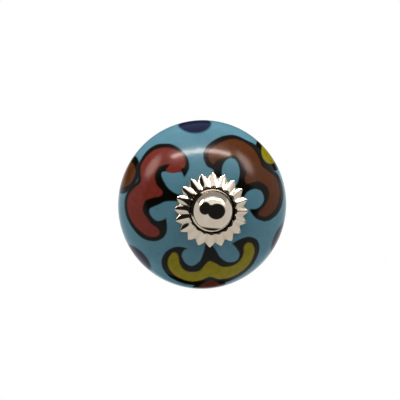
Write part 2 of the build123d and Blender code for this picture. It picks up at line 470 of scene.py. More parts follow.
def bare_clay(colours):
    """Fired clay that the glaze was wiped from."""
    # The eye sees a dull, chalky cream with fine grit and a few darker grains
    material, tree = new_material("bare_earthenware")
    place = add(tree, "ShaderNodeTexCoord", output="Object")
    grit = add(tree, "ShaderNodeTexNoise", {"Vector": place, "Scale": 1 / GRIT_WIDTH, "Detail": 6.0})
    stains = add(tree, "ShaderNodeMapRange", {"Value": grit, "To Min": -0.5, "To Max": 1.3})
    surface = add(tree, "ShaderNodeMix", {
        SHARE: stains, LOWER: opaque(colours.clay), UPPER: opaque(colours.clay, STAIN_SHADE),
    }, MIXED, data_type="RGBA")
    pits = add(tree, "ShaderNodeBump", {"Height": grit, "Distance": PIT_DEPTH, "Strength": 0.6})
    chalk = add(tree, "ShaderNodeMapRange", {"Value": grit, "To Min": 0.8, "To Max": 0.95})
    shader = add(tree, "ShaderNodeBsdfPrincipled", {
        "Base Color": surface, "Roughness": chalk, "IOR": 1.5, "Normal": pits,
    })
    add(tree, "ShaderNodeOutputMaterial", {"Surface": shader})
    return material


def nickel_plate(colours):
    """Polished brass under bright nickel."""
    # The eye sees a warm mirror, rippled by the stamping, with faint tarnish, and folds darkened by painted
    # shade in the valleys along with tarnish
    material, tree = new_material("bright_nickel_plate")
    place = add(tree, "ShaderNodeTexCoord", output="Object")
    tarnish = add(tree, "ShaderNodeTexNoise", {"Vector": place, "Scale": 1 / TARNISH_WIDTH, "Detail": 4.0})
    patches = add(tree, "ShaderNodeMapRange", {"Value": tarnish, "To Min": -0.6, "To Max": 1.3})
    polished = add(tree, "ShaderNodeMix", {
        SHARE: patches, LOWER: opaque(colours.nickel), UPPER: opaque(colours.tarnish),
    }, MIXED, data_type="RGBA")
    # Painted shade and tarnish: the pleats' valleys take the darker tarnish colour, more so towards the rim
    folds = add(tree, "ShaderNodeAttribute", output="Fac", attribute_name="fold")
    surface = add(tree, "ShaderNodeMix", {
        SHARE: folds, LOWER: polished, UPPER: opaque(colours.tarnish, FOLD_SHADE),
    }, MIXED, data_type="RGBA")
    ripples = add(tree, "ShaderNodeTexNoise", {"Vector": place, "Scale": 1 / RIPPLE_WIDTH})
    rippled = add(tree, "ShaderNodeBump", {"Height": ripples, "Distance": RIPPLE_DEPTH, "Strength": 1.0})
    polish = add(tree, "ShaderNodeMapRange", {"Value": tarnish, "To Min": 0.02, "To Max": 0.06})
    shader = add(tree, "ShaderNodeBsdfPrincipled", {
        "Base Color": surface, "Roughness": polish, "Metallic": 1.0, "Normal": rippled,
    })
    add(tree, "ShaderNodeOutputMaterial", {"Surface": shader})
    return material


def zinc_plate(colours):
    """Steel with a dull zinc plate."""
    # The eye sees a cool satin grey, clouded where the plate grew in patches
    material, tree = new_material("zinc_plated_steel")
    place = add(tree, "ShaderNodeTexCoord", output="Object")
    growth = add(tree, "ShaderNodeTexNoise", {"Vector": place, "Scale": 1 / GROWTH_WIDTH, "Detail": 5.0})
    patches = add(tree, "ShaderNodeMapRange", {"Value": growth, "To Min": -0.4, "To Max": 1.4})
    surface = add(tree, "ShaderNodeMix", {
        SHARE: patches, LOWER: opaque(colours.zinc), UPPER: opaque(colours.zinc, PATCH_SHADE),
    }, MIXED, data_type="RGBA")
    crystals = add(tree, "ShaderNodeTexNoise", {"Vector": place, "Scale": 1 / CRYSTAL_WIDTH, "Detail": 3.0})
    grain = add(tree, "ShaderNodeBump", {"Height": crystals, "Distance": CRYSTAL_DEPTH, "Strength": 0.5})
    satin = add(tree, "ShaderNodeMapRange", {"Value": growth, "To Min": 0.28, "To Max": 0.45})
    shader = add(tree, "ShaderNodeBsdfPrincipled", {
        "Base Color": surface, "Roughness": satin, "Metallic": 1.0, "Normal": grain,
    })
    add(tree, "ShaderNodeOutputMaterial", {"Surface": shader})
    return material


# Painted shapes

# The plan is the front laid flat, in millimetres: distance from the middle along the glaze, +X right, +Z up
# A point given twice is a corner, and the rest of an outline runs smoothly through its points
SCROLL_EDGES = {
    "red": (
        (-6.2, 7.7), (-6.2, 7.7), (-5.4, 8.9), (-4.9, 10.4), (-5.3, 12.6), (-6.8, 14.7), (-8.8, 16.2),
        (-11.0, 16.8), (-13.6, 16.8), (-16.0, 15.4), (-17.7, 12.8), (-18.4, 10.6), (-18.0, 7.4),
        (-20.1, 5.4), (-21.8, 3.3), (-22.3, 0.8), (-21.6, -2.3), (-19.6, -5.3), (-17.0, -7.5),
        (-14.2, -8.1), (-11.7, -7.3), (-10.5, -5.6), (-10.3, -3.6), (-10.5, -1.9), (-10.5, -1.9),
        (-11.5, -2.5), (-12.9, -2.7), (-14.2, -1.6), (-14.7, -0.4), (-14.3, 0.3), (-12.6, 1.1),
        (-10.8, 1.9), (-8.7, 2.1), (-5.9, 1.9), (-5.9, 1.9), (-5.9, 3.4), (-5.9, 3.4), (-8.0, 3.8),
        (-9.9, 5.1), (-11.1, 6.9), (-11.7, 8.6), (-11.1, 9.2), (-9.1, 8.9), (-6.8, 9.0), (-6.8, 9.0),
    ),
    "brown": (
        (-1.5, 12.9), (-1.1, 14.4), (0.3, 16.2), (2.6, 17.7), (5.2, 18.7), (7.9, 18.9), (10.7, 17.7),
        (13.7, 16.4), (14.8, 14.0), (14.9, 11.2), (16.8, 9.9), (19.7, 8.5), (21.3, 5.7), (21.4, 2.8),
        (20.0, -0.1), (17.7, -2.4), (14.4, -3.4), (11.4, -2.5), (9.8, -0.9), (9.4, 0.0), (9.4, 0.0),
        (11.4, 0.0), (13.0, 1.0), (13.6, 2.3), (12.9, 4.0), (10.9, 4.7), (8.9, 4.0), (7.7, 2.9),
        (4.9, 2.7), (4.9, 2.7), (4.5, 4.8), (4.5, 4.8), (6.0, 5.7), (7.0, 7.7), (7.2, 10.1), (6.4, 11.9),
        (5.0, 12.2), (3.5, 11.1), (2.8, 9.3), (2.6, 6.5), (2.6, 6.5), (0.5, 7.2), (0.5, 7.2), (0.7, 9.2),
        (-0.9, 10.4),
    ),
    "olive": (
        (-5.3, -9.3), (-5.3, -9.3), (-7.0, -8.9), (-9.0, -9.3), (-10.9, -10.9), (-11.8, -13.5),
        (-11.3, -16.5), (-9.5, -19.0), (-6.4, -20.8), (-3.1, -21.3), (-0.1, -20.4), (3.8, -20.7),
        (7.4, -19.8), (10.6, -17.6), (12.7, -14.2), (13.3, -10.7), (12.1, -8.0), (9.6, -6.8),
        (7.5, -7.1), (5.7, -7.8), (5.1, -8.2), (5.1, -8.2), (6.4, -9.4), (7.5, -11.3), (7.0, -13.0),
        (5.0, -13.3), (3.0, -12.1), (1.5, -9.9), (0.4, -8.0), (0.2, -5.1), (0.2, -5.1), (-1.5, -5.1),
        (-1.5, -5.1), (-1.3, -8.0), (-1.6, -10.3), (-2.5, -12.9), (-4.2, -14.1), (-5.8, -13.3),
        (-6.7, -11.3), (-6.3, -9.9),
    ),
}
SCROLL_FILLS = {
    "red": (
        (-6.9, 9.1), (-6.9, 9.7), (-6.0, 10.4), (-5.9, 12.0), (-7.0, 13.7), (-8.9, 15.0), (-11.2, 15.6),
        (-13.9, 15.1), (-16.1, 13.3), (-17.3, 11.2), (-17.3, 9.0), (-17.1, 6.8), (-19.1, 5.1),
        (-20.7, 3.2), (-21.1, 0.8), (-20.4, -2.1), (-18.5, -4.7), (-16.0, -6.5), (-13.7, -6.9),
        (-12.2, -6.0), (-12.5, -4.7), (-14.2, -3.6), (-15.2, -2.3), (-16.5, -0.3), (-15.8, 1.9),
        (-14.1, 2.8), (-11.9, 3.3), (-11.4, 4.4), (-12.9, 6.1), (-13.4, 8.1), (-12.6, 10.3),
        (-10.7, 11.0), (-9.6, 10.9), (-10.6, 9.7), (-10.3, 9.1), (-8.7, 8.8),
    ),
    "brown": (
        (-0.2, 12.6), (0.3, 14.4), (2.1, 15.8), (4.7, 17.1), (7.2, 17.6), (9.9, 16.8), (12.3, 15.0),
        (13.4, 12.8), (14.0, 10.5), (16.0, 9.1), (18.3, 7.4), (19.3, 4.4), (18.9, 1.7), (17.3, -0.7),
        (14.6, -2.1), (12.3, -1.8), (12.0, -0.9), (14.0, 0.7), (15.4, 3.1), (14.8, 5.2), (12.6, 6.5),
        (10.4, 6.3), (8.8, 6.0), (8.5, 7.3), (9.1, 9.2), (8.3, 11.3), (6.5, 12.8), (5.1, 12.9),
        (3.7, 12.3), (2.0, 11.9), (0.8, 10.8), (0.1, 11.4),
    ),
    "olive": (
        (-9.4, -11.2), (-8.4, -10.5), (-7.6, -11.3), (-7.3, -13.4), (-6.2, -15.4), (-4.3, -16.1),
        (-2.2, -15.6), (-1.0, -13.8), (0.0, -12.7), (1.5, -13.3), (3.3, -14.5), (5.8, -14.6),
        (7.8, -13.4), (8.6, -11.5), (8.5, -9.2), (9.6, -8.3), (11.1, -9.3), (11.8, -11.6), (11.0, -14.7),
        (9.1, -16.9), (6.2, -18.5), (3.2, -18.7), (0.7, -17.7), (-1.2, -18.7), (-3.9, -19.5),
        (-7.3, -18.4), (-9.5, -16.2), (-10.2, -13.5),
    ),
}
# Ovals at the widest circle: layer, direction in degrees from +X to +Z, then in millimetres
# the distance out, half the size outwards and half the size across
BUD_EDGES = (
    ("outline", 157.5, 25.4, 5.8, 6.0), ("outline", 38.2, 23.5, 5.6, 5.0), ("outline", 273.0, 23.4, 5.6, 4.7),
)
BUD_FILLS = (
    ("brown", 157.5, 25.3, 4.5, 3.9), ("olive", 38.5, 24.0, 4.6, 2.9), ("maroon", 273.0, 23.7, 4.5, 3.2),
)
SPOTS = (
    ("violet", 96.6, 24.3, 4.9, 4.8), ("violet", 218.3, 25.2, 4.6, 5.0), ("violet", 336.5, 25.0, 5.4, 5.4),
)
CURVE_STEPS = 8
# Least squared length and least slope that a depth is divided by
LEAST_SQUARE = 1e-18
LEAST_SLOPE = 1e-6


def smooth_outline(points):
    """Points of a closed outline that runs smoothly through the points given, with its corners kept."""
    ring = np.array(points) * MM
    before, after, beyond = (np.roll(ring, -shift_by, axis=0) for shift_by in (-1, 1, 2))
    stretches = []
    for p0, p1, p2, p3 in zip(before, ring, after, beyond):
        if np.allclose(p1, p2):
            continue
        t = np.arange(CURVE_STEPS)[:, None] / CURVE_STEPS
        stretches.append(p1 + 0.5 * t * (
            p2 - p0 + t * (2 * p0 - 5 * p1 + 4 * p2 - p3) + t**2 * (3 * (p1 - p2) + p3 - p0)
        ))
    return np.concatenate(stretches)


def depth_in_outline(places, outline):
    """How far each place lies inside a closed outline, below zero outside it."""
    ends = np.roll(outline, -1, axis=0)
    nearest = np.full(len(places), np.inf)
    inside = np.zeros(len(places), dtype=bool)
    for start, end in zip(outline, ends):
        along = end - start
        offset = places - start
        share = np.clip(offset @ along / max(along @ along, LEAST_SQUARE), 0.0, 1.0)
        nearest = np.minimum(nearest, np.linalg.norm(offset - share[:, None] * along, axis=1))
        crossed = (start[1] > places[:, 1]) != (end[1] > places[:, 1])
        rise = along[1] if along[1] else 1.0
        inside ^= crossed & (places[:, 0] < start[0] + along[0] * (places[:, 1] - start[1]) / rise)
    return np.where(inside, nearest, -nearest)


def depth_in_oval(places, direction, distance, half_out, half_across):
    """How far each place lies inside an oval on the plan, below zero outside it."""
    turn_to = math.radians(direction)
    outward = np.array((math.cos(turn_to), math.sin(turn_to)))
    across = np.array((-outward[1], outward[0]))
    offset = places - distance * MM * outward
    parts = np.stack((offset @ outward / (half_out * MM), offset @ across / (half_across * MM)))
    size = np.hypot(*parts)
    slope = np.hypot(parts[0] / (half_out * MM), parts[1] / (half_across * MM))
    return size * (1 - size) / np.maximum(slope, LEAST_SLOPE)


def plan_places(piece, outside):
    """Place on the flat plan of each point of the turned bulb."""
    path = np.array([(0.0, outside[-1][1]), *reversed(outside)])
    run = np.concatenate(([0.0], np.cumsum(np.linalg.norm(np.diff(path, axis=0), axis=1))))
    x, y, z = point_places(piece)
    radius = np.hypot(x, z)
    gaps = np.hypot(radius[:, None] - path[:, 0], y[:, None] - path[:, 1])
    distance = run[np.argmin(gaps, axis=1)]
    return np.stack((x, z), axis=1) * (distance / np.maximum(radius, MM))[:, None]


def paint_layers(piece, outside):
    """Store on each point of the bulb how deep it lies inside every layer of paint."""
    places = plan_places(piece, outside)
    shapes = [(layer, depth_in_oval(places, *oval)) for layer, *oval in (*BUD_EDGES, *BUD_FILLS, *SPOTS)]
    for points in SCROLL_EDGES.values():
        shapes.append(("outline", depth_in_outline(places, smooth_outline(points))))
    for layer, points in SCROLL_FILLS.items():
        shapes.append((layer, depth_in_outline(places, smooth_outline(points))))
    layers = {}
    for layer, depth in shapes:
        layers[layer] = np.maximum(layers.get(layer, depth), depth)
    for layer, depth in layers.items():
        store(piece, layer, depth)


# Sections

# Steps of the arcs in the sections, from the foot to the crown, then of the dome, bends and small edges
FOOT_STEPS, NECK_STEPS, BACK_STEPS, BACK_SHOULDER_STEPS = 6, 10, 14, 30
FRONT_SHOULDER_STEPS, CROWN_STEPS = 28, 48
DOME_STEPS, BEND_STEPS, EDGE_STEPS = 40, 4, 5
# Steps of a whole turn round the axis
BULB_TURN, BOLT_TURN, FASTENER_TURN, CUTTER_TURN, THREAD_TURN = 400, 128, 96, 64, 32
# Turns of thread past each of its ends, before it is cut to length
SPARE_TURNS = 2
# Points round one pleat, how near its wave is to a zigzag, and rings down to the bend and out to the tip
PLEAT_STEPS = 16
PLEAT_SHARPNESS = 0.99
PLEAT_RINGS = 8
TIP_RINGS = 2
# Angles in degrees between faces, above which an edge of the sheet or the nut is rounded
SHEET_EDGE = 60.0
NUT_EDGE = 25.0


def bulb_section(sizes):
    """Half a section of the bulb: the outside from the foot to the crown, and the hole back to the foot."""
    radius = sizes.radius
    widest = -sizes.widest_height

    def crown(bulge, shoulder):
        """Radius of the arc over one half, how far its centre lies past the widest circle, and its end."""
        inset = radius - shoulder
        crown_radius = (inset**2 + bulge**2 - shoulder**2) / (2 * (bulge - shoulder))
        drop = crown_radius - bulge
        return crown_radius, drop, math.atan2(drop, inset)

    front_radius, front_drop, front_sweep = crown(sizes.front_bulge, sizes.front_shoulder)
    back_radius, back_drop, back_sweep = crown(sizes.back_bulge, sizes.back_shoulder)
    front_centre = (0.0, widest + front_drop)
    front_ring = (radius - sizes.front_shoulder, widest)
    back_centre = (0.0, widest - back_drop)
    back_ring = (radius - sizes.back_shoulder, widest)
    neck_reach = sizes.foot_radius + sizes.neck_radius
    neck_rise = math.sqrt((back_radius + sizes.neck_radius) ** 2 - neck_reach**2)
    neck_centre = (neck_reach, back_centre[1] + neck_rise)
    neck_turn = math.atan2(neck_rise, neck_reach)
    foot_corner = (sizes.foot_radius - sizes.foot_edge, -sizes.foot_edge)
    crown_end = math.acos(sizes.crown_flat / front_radius)
    top = -sizes.crown_height
    outside = [
        ((sizes.hole_radius + sizes.foot_radius) / 2, 0.0),
        *arc(foot_corner, sizes.foot_edge, math.pi / 2, 0.0, FOOT_STEPS),
        *arc(neck_centre, sizes.neck_radius, math.pi, math.pi + neck_turn, NECK_STEPS),
        *arc(back_centre, back_radius, neck_turn, back_sweep, BACK_STEPS)[1:],
        *arc(back_ring, sizes.back_shoulder, back_sweep, 0.0, BACK_SHOULDER_STEPS)[1:],
        *arc(front_ring, sizes.front_shoulder, 0.0, -front_sweep, FRONT_SHOULDER_STEPS)[1:],
        *arc(front_centre, front_radius, -front_sweep, -crown_end, CROWN_STEPS)[1:],
    ]
    hole = [
        (sizes.hole_radius + sizes.hole_edge, top),
        (sizes.hole_radius, top + sizes.hole_edge),
        (sizes.hole_radius, -sizes.hole_edge),
        (sizes.hole_radius + sizes.hole_edge, 0.0),
    ]
    return outside, hole


def bolt_section(sizes, cup_floor):
    """Half a section of the bolt's dome, collar and plain shank, from the dome's top to the shank's end."""
    collar_top = -cup_floor - sizes.collar_thickness
    ball = (sizes.dome_radius**2 + sizes.dome_height**2) / (2 * sizes.dome_height)
    dome_edge = -math.acos(sizes.dome_radius / ball)
    edge = sizes.collar_edge
    slope = sizes.collar_slope
    slope_run = sizes.collar_radius - edge + edge * math.sin(slope) - sizes.dome_radius
    edge_middle = collar_top + slope_run * math.tan(slope) + edge * math.cos(slope)
    return [
        *arc((0.0, -sizes.dome_top + ball), ball, -math.pi / 2, dome_edge, DOME_STEPS),
        (sizes.dome_radius, collar_top - sizes.groove),
        (sizes.dome_radius - sizes.groove, collar_top),
        (sizes.dome_radius, collar_top),
        *arc((sizes.collar_radius - edge, edge_middle), edge, slope - math.pi / 2, 0.0, EDGE_STEPS),
        (sizes.collar_radius, -cup_floor),
        (sizes.shank_radius, -cup_floor),
        (sizes.shank_radius, -sizes.thread_start + sizes.thread_pitch),
        (0.0, -sizes.thread_start + sizes.thread_pitch),
    ]


def thread_section(sizes):
    """One turn's section of the thread: root, flank, crest, flank and root."""
    # A metric thread is flat over a quarter of its pitch at the root and an eighth at the crest
    start = -sizes.thread_start - SPARE_TURNS * sizes.thread_pitch
    root_half = sizes.thread_pitch / 8
    crest_half = sizes.thread_pitch / 16
    middle = start + sizes.thread_pitch / 2
    return [
        (sizes.thread_root, start),
        (sizes.thread_root, start + root_half),
        (sizes.thread_radius, middle - crest_half),
        (sizes.thread_radius, middle + crest_half),
        (sizes.thread_root, start + sizes.thread_pitch - root_half),
        (sizes.thread_root, start + sizes.thread_pitch),
    ]


def straight(start, end, steps):
    """Places along a straight line between two others."""
    return [tuple(a + (b - a) * i / steps for a, b in zip(start, end)) for i in range(steps + 1)]


def pleat(ridge_place, valley_place):
    """Places (radius, along Y) of half a pleat's points, from its ridge down to its valley."""
    places = []
    for step in range(PLEAT_STEPS // 2 + 1):
        wave = math.asin(PLEAT_SHARPNESS * math.cos(2 * math.pi * step / PLEAT_STEPS))
        share = (wave / math.asin(PLEAT_SHARPNESS) + 1) / 2
        places.append(tuple(v + (r - v) * share for r, v in zip(ridge_place, valley_place)))
    return places


# Operators


class KNOB_OT_glazed_body(bpy.types.Operator):
    """Turn the bulb, its neck and foot, and paint it"""

    bl_idname = "knob.glazed_body"
    bl_label = "Glazed body"

    def execute(self, context):
        sizes = context.scene.knob_bulb
        colours = context.scene.knob_colours
        outside, hole = bulb_section(sizes)
        piece = turn("painted_bulb", [*outside, *hole, outside[0]], BULB_TURN)
        paint_layers(piece, outside)
        glaze = painted_glaze(colours, context.scene.knob_paint)
        dress(piece, "glazed_body", "painted_glaze", TURNED_SMOOTH, glaze, bare_clay(colours))
        self.wipe_foot(piece, sizes)
        return {"FINISHED"}

    def wipe_foot(self, piece, sizes):
        """Give the foot's ring and the hole their bare clay."""
        mouth = sizes.hole_radius + sizes.hole_edge
        bpy.ops.object.mode_set(mode="EDIT")
        select_faces(piece, lambda place: place.y > -sizes.bare_foot or math.hypot(place.x, place.z) < mouth)
        piece.active_material_index = 1
        bpy.ops.object.material_slot_assign()
        bpy.ops.object.mode_set(mode="OBJECT")


class KNOB_OT_flower_washer(bpy.types.Operator):
    """Pleat the flower washer out of one round of sheet"""

    bl_idname = "knob.flower_washer"
    bl_label = "Flower washer"

    def execute(self, context):
        sizes = context.scene.knob_flower
        floor = -sizes.cup_floor
        crest = -sizes.crest_height
        rim = -sizes.rim_height
        piece = begin(
            "pleated_washer", bpy.ops.mesh.primitive_circle_add, vertices=sizes.folds * PLEAT_STEPS,
            radius=sizes.hole_radius, location=(0, 0, 0), rotation=(math.pi / 2, 0, 0),
        )
        settle()
        bpy.ops.object.mode_set(mode="EDIT")
        bpy.ops.transform.rotate(
            value=-sizes.first_fold, orient_axis="Y", center_override=(0, 0, 0)
        )
        bpy.ops.transform.translate(value=(0, floor, 0))
        cup_corner = (sizes.cup_radius - sizes.cup_bend, floor - sizes.cup_bend)
        crest_corner = (sizes.cup_mouth + sizes.crest_bend, crest + sizes.crest_bend)
        cup = [
            (sizes.cup_radius / 2, floor),
            *arc(cup_corner, sizes.cup_bend, math.pi / 2, 0.0, BEND_STEPS),
            *arc(crest_corner, sizes.crest_bend, math.pi, 1.5 * math.pi, BEND_STEPS),
        ]
        tip = (sizes.tip_radius, rim)
        bend = (sizes.tip_radius - sizes.tip_run, rim - sizes.tip_run * math.tan(sizes.tip_slope))
        ridge = straight((sizes.crest_ridge, crest), bend, PLEAT_RINGS) + straight(bend, tip, TIP_RINGS)[1:]
        valley = straight((sizes.crest_valley, crest), (sizes.rim_valley, rim), PLEAT_RINGS + TIP_RINGS)
        rings = [(place, place) for place in cup]
        rings += zip(ridge, valley)
        before = [(sizes.hole_radius, floor)] * (PLEAT_STEPS // 2 + 1)
        for ridge_place, valley_place in rings:
            bpy.ops.mesh.extrude_edges_move()
            after = pleat(ridge_place, valley_place)
            self.move_ring(piece, sizes, before, after)
            before = after
        close_seams()
        apply_modifier(piece, "SOLIDIFY", thickness=sizes.sheet, offset=-1.0)
        round_edges(piece, sizes.edge_round, SHEET_EDGE)
        self.mark_fold_shade_and_tarnish(piece, sizes)
        colours = context.scene.knob_colours
        dress(piece, "flower_washer", "nickel_plate", PLEATED_SMOOTH, nickel_plate(colours))
        return {"FINISHED"}

    def mark_fold_shade_and_tarnish(self, piece, sizes):
        """Store on each point how deep it lies in a valley between two ridges, for painted shade in the
        valleys together with tarnish where polish doesn't reach.
        """
        x, _, z = point_places(piece)
        valley = 0.5 - 0.5 * np.cos(sizes.folds * (np.arctan2(z, x) - sizes.first_fold))
        outward = (np.hypot(x, z) - sizes.cup_mouth) / (sizes.rim_valley - sizes.cup_mouth)
        store(piece, "fold", valley**2 * np.clip(outward, 0.0, 1.0))

    def move_ring(self, piece, sizes, before, after):
        """Scale and lift the ring just extruded, one set of like points of every pleat at a time."""
        mesh = bmesh.from_edit_mesh(piece.data)
        mesh.verts.index_update()
        like_points = [[] for _ in before]
        for vertex in mesh.verts:
            if vertex.select:
                turned = math.atan2(vertex.co.z, vertex.co.x) - sizes.first_fold
                step = round(turned * sizes.folds * PLEAT_STEPS / (2 * math.pi)) % PLEAT_STEPS
                like_points[min(step, PLEAT_STEPS - step)].append(vertex.index)
        for points, (old_radius, old_along), (radius, along) in zip(like_points, before, after):
            self.select_points(piece, points)
            scale = radius / old_radius
            bpy.ops.transform.resize(value=(scale, 1, scale), center_override=(0, 0, 0))
            bpy.ops.transform.translate(value=(0, along - old_along, 0))
        self.select_points(piece, [point for points in like_points for point in points])

    def select_points(self, piece, points):
        """Select some points of the piece and the edges between them."""
        bpy.ops.mesh.select_all(action="DESELECT")
        mesh = bmesh.from_edit_mesh(piece.data)
        mesh.verts.ensure_lookup_table()
        for point in points:
            mesh.verts[point].select = True
        mesh.select_flush(True)
        bmesh.update_edit_mesh(piece.data)


class KNOB_OT_dome_bolt(bpy.types.Operator):
    """Turn the bolt's dome and collar and cut its thread"""

    bl_idname = "knob.dome_bolt"
    bl_label = "Dome bolt"

    def execute(self, context):
        sizes = context.scene.knob_bolt
        end = bolt_box[1].y
        piece = turn("domed_bolt", bolt_section(sizes, context.scene.knob_flower.cup_floor), BOLT_TURN)
        thread = draw_section("thread", thread_section(sizes))
        bpy.ops.object.mode_set(mode="OBJECT")
        turns = math.ceil((end + sizes.thread_start) / sizes.thread_pitch) + 2 * SPARE_TURNS
        apply_modifier(
            thread, "SCREW", axis="Y", screw_offset=sizes.thread_pitch, iterations=turns,
            steps=THREAD_TURN, render_steps=THREAD_TURN,
        )
        bpy.ops.object.mode_set(mode="EDIT")
        close_seams()
        bpy.ops.object.mode_set(mode="EDIT")
        for place, way in ((-sizes.thread_start, -1), (end, 1)):
            bpy.ops.mesh.select_all(action="SELECT")
            bpy.ops.mesh.bisect(
                plane_co=(0, place, 0), plane_no=(0, way, 0), use_fill=True, clear_outer=True,
                threshold=CUT_DISTANCE,
            )
        close_seams()
        chamfer = sizes.tip_chamfer
        blank_start = -sizes.thread_start - sizes.thread_pitch
        blank_radius = 2 * sizes.thread_radius
        blank = turn("thread_blank", [
            (0.0, blank_start),
            (blank_radius, blank_start),
            (blank_radius, end - chamfer - blank_radius + sizes.thread_radius),
            (sizes.thread_radius - chamfer, end),
            (0.0, end),
        ], CUTTER_TURN)
        combine(thread, blank, "INTERSECT")
        combine(piece, thread, "UNION")
        colours = context.scene.knob_colours
        dress(piece, "dome_bolt", "nickel_plate", TURNED_SMOOTH, nickel_plate(colours))
        return {"FINISHED"}


class KNOB_OT_flat_washer(bpy.types.Operator):
    """Turn the plain washer that lies behind the door"""

    bl_idname = "knob.flat_washer"
    bl_label = "Flat washer"

    def execute(self, context):
        sizes = context.scene.knob_fasteners
        outer = plain_washer_box[1].x
        front = plain_washer_box[0].y
        back = plain_washer_box[1].y
        edge = sizes.washer_edge
        piece = turn("plain_washer", [
            (sizes.washer_hole, front),
            (outer, front),
            *arc((outer - edge, back - edge), edge, 0.0, math.pi / 2, EDGE_STEPS),
            *arc((sizes.washer_hole + edge, back - edge), edge, math.pi / 2, math.pi, EDGE_STEPS),
            (sizes.washer_hole, front),
        ], FASTENER_TURN)
        colours = context.scene.knob_colours
        dress(piece, "flat_washer", "zinc_plate", TURNED_SMOOTH, zinc_plate(colours))
        return {"FINISHED"}


class KNOB_OT_hex_nut(bpy.types.Operator):
    """Cut the nut from a hexagon bar and turn its corners down"""

    bl_idname = "knob.hex_nut"
    bl_label = "Hex nut"

    def execute(self, context):
        sizes = context.scene.knob_fasteners
        seat = nut_box[0].y
        back = nut_box[1].y
        corner = nut_box[1].x
        flat = nut_box[1].z
        drop = (corner - flat) * math.tan(sizes.nut_corner)
        piece = begin(
            "hexagon_nut", bpy.ops.mesh.primitive_cylinder_add, vertices=6, radius=corner,
            depth=back - seat, location=(0, (seat + back) / 2, 0),
            rotation=(math.pi / 2, math.pi / 6, 0),
        )
        settle()
        blank = turn("nut_blank", [
            (0.0, seat), (flat, seat), (corner, seat + drop), (corner, back - drop), (flat, back),
            (0.0, back),
        ], FASTENER_TURN)
        combine(piece, blank, "INTERSECT")
        mouth = sizes.nut_bore + sizes.nut_mouth
        bore = turn("nut_bore", [
            (0.0, seat - mouth), (2 * mouth, seat - mouth), (sizes.nut_bore, seat + sizes.nut_mouth),
            (sizes.nut_bore, back - sizes.nut_mouth), (2 * mouth, back + mouth), (0.0, back + mouth),
        ], CUTTER_TURN)
        combine(piece, bore, "DIFFERENCE")
        round_edges(piece, sizes.nut_edge, NUT_EDGE)
        colours = context.scene.knob_colours
        dress(piece, "hex_nut", "zinc_plate", TURNED_SMOOTH, zinc_plate(colours))
        return {"FINISHED"}


# Stage

FLOOR_SIZE = 40.0
FLOOR_TONE = 0.9
FLOOR_GLOW = 0.985
WHITE = (1.0, 1.0, 1.0)
CLIP_START = 0.01
TUBE_SIDES = 32
SPHERE_SEGMENTS = 144
# Distances from the bulb's middle to what hangs round it
CANOPY_REACH = 0.6
CEILING_REACH = 0.65
BOX_REACH = 0.55
DARK_REACH = 0.35
# Ovals seen from the knob: azimuth from the front towards +X, elevation, half width, half height, in degrees
OPENING = ((19.0, -3.0, 46.0, 38.5), (-40.0, 13.0, 31.0, 31.0), (-15.0, 8.0, 30.0, 23.0))
SIDE_BOXES = ((-71.0, 37.0, 6.5, 12.0), (65.5, 38.5, 6.5, 11.5))
# Widths of the soft edges, then the foot and the back of the cloth and the foot of the ceiling, in degrees
OPENING_EDGE = 4.0
BOX_EDGE = 8.0
CANOPY_EDGE = 12.0
CANOPY_FOOT = 16.0
CANOPY_BACK = 77.0
CEILING_FOOT = 30.0
# Middle of the dark drape below and behind the knob: azimuth and elevation, then its reach, in degrees
DRAPE_MIDDLE = (180.0, -60.0)
DRAPE_REACH = 24.0
# Dark strip of wall behind the knob: its nearest edge from the front, its foot and its top, in degrees
WALL_FRONT = 115.0
WALL_FOOT = 9.0
WALL_TOP = 45.0


def bearing(place):
    """Azimuth from the front and elevation of a place seen from the knob, in degrees."""
    azimuth = math.atan2(place.x, -place.y)
    elevation = math.atan2(place.z, math.hypot(place.x, place.y))
    return math.degrees(azimuth), math.degrees(elevation)


def apart(azimuth, elevation, middle_azimuth=0.0, middle_elevation=0.0):
    """Angle between a direction and another one, the front if none is given, in degrees."""
    turn_by = math.radians(azimuth - middle_azimuth)
    here, there = math.radians(elevation), math.radians(middle_elevation)
    level_share = math.cos(here) * math.cos(there) * math.cos(turn_by)
    return math.degrees(math.acos(min(max(level_share + math.sin(here) * math.sin(there), -1.0), 1.0)))


def soft_edge(depth, width):
    """Goes from 0 to 1 over the width of an edge, half way where the depth is 0."""
    share = min(max(depth / width + 0.5, 0.0), 1.0)
    return share * share * (3 - 2 * share)


def depth_in_ovals(azimuth, elevation, ovals):
    """How many degrees a direction lies inside the nearest of some ovals, below zero outside them."""
    return max(
        (1 - math.hypot((azimuth - middle) / across, (elevation - height) / up)) * up
        for middle, height, across, up in ovals
    )


def opening_cover(azimuth, elevation):
    """How much the dark room behind the camera shows in a direction, from 0 to 1."""
    return soft_edge(depth_in_ovals(azimuth, elevation, OPENING), OPENING_EDGE)


def box_cover(azimuth, elevation):
    """How much the two soft boxes cover a direction, from 0 to 1."""
    return soft_edge(depth_in_ovals(azimuth, elevation, SIDE_BOXES), BOX_EDGE)


def canopy_cover(azimuth, elevation):
    """How much the white cloth above and beside the opening covers a direction, from 0 to 1."""
    outside = soft_edge(-depth_in_ovals(azimuth, elevation, OPENING), OPENING_EDGE)
    raised = soft_edge(elevation - CANOPY_FOOT, CANOPY_EDGE)
    return outside * raised * soft_edge(CANOPY_BACK - apart(azimuth, elevation), CANOPY_EDGE)


def ceiling_cover(azimuth, elevation):
    """How much the grey ceiling behind the canopy covers a direction, from 0 to 1."""
    behind = soft_edge(apart(azimuth, elevation) - CANOPY_BACK, CANOPY_EDGE)
    return behind * soft_edge(elevation - CEILING_FOOT, CANOPY_EDGE)


def drape_cover(azimuth, elevation):
    """How much the dark drape below and behind the knob covers a direction, from 0 to 1."""
    return soft_edge(DRAPE_REACH - apart(azimuth, elevation, *DRAPE_MIDDLE), CANOPY_EDGE)


